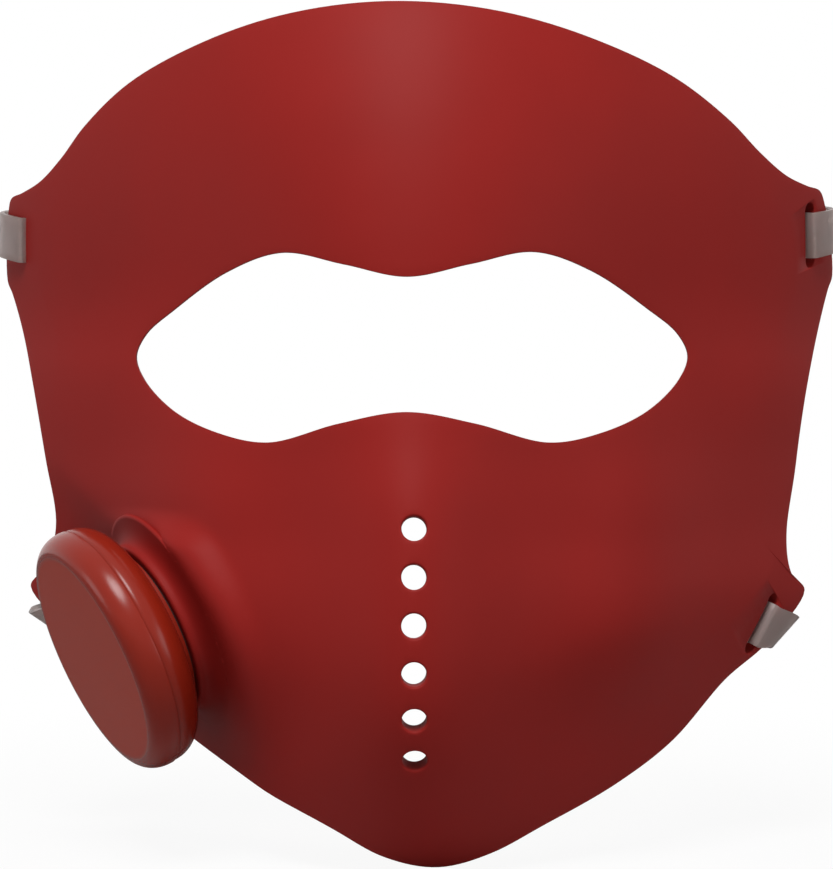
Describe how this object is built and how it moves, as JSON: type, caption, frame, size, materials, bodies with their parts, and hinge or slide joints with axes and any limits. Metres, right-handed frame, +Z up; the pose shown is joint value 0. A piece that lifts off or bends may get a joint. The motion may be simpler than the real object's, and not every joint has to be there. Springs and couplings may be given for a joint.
{
  "type": "light therapy face mask",
  "caption": "Curved flexible face mask with an eye window, a line of breathing holes, clear head straps and a round control pod with a push-button face on one cheek.",
  "frame": {"origin": "middle of the wearer's eye line, level with the front of the brow", "axes": "+Z up, +Y from the front of the mask towards the wearer, +X towards the wearer's left, on the side away from the control pod"},
  "size_m": [0.2084, 0.2102, 0.194],
  "materials": {
    "red_silicone": "soft matt",
    "red_plastic": "satin",
    "clear_strap": "translucent, satin",
    "clear_liner": "clear, smooth",
    "black_rubber": "matt",
    "amber_film": "smooth film",
    "lamp": "clear lens",
    "white_plastic": "satin",
    "green_board": "satin",
    "black_plastic": "matt",
    "steel": "brushed"
  },
  "bodies": {
    "mask": {"outer_shell": "red_silicone", "inner_liner": "clear_liner", "forehead_circuit": "amber_film", "left_cheek_circuit": "amber_film", "right_cheek_circuit": "amber_film", "forehead_leds": "lamp", "left_cheek_leds": "lamp", "right_cheek_leds": "lamp", "circuit_tail": "amber_film", "pod_rear_shell": "red_plastic", "power_switch": "black_plastic", "main_board": "green_board", "board_screws": "steel", "control_chips": "black_plastic", "tail_connector": "white_plastic", "charge_socket": "steel", "battery_cell": "steel", "battery_pad": "black_rubber", "battery_clip": "white_plastic", "neck_seal": "black_rubber", "clamp_plate": "white_plastic", "clamp_screws": "steel", "pod_inner_cover": "red_plastic", "upper_strap": "clear_strap", "lower_strap": "clear_strap", "upper_strap_studs": "white_plastic", "lower_strap_studs": "white_plastic"},
    "power_button": {"power_cap": "red_plastic", "switch_stem": "white_plastic"}
  },
  "joints": [
    {"name": "power_press", "type": "slide", "parent": "mask", "child": "power_button", "axis": [0.8202, 0.4179, 0.3907], "range_m": [0, 0.00025], "stiffness_N_per_m": 6000, "springref_m": -0.00005}
  ]
}
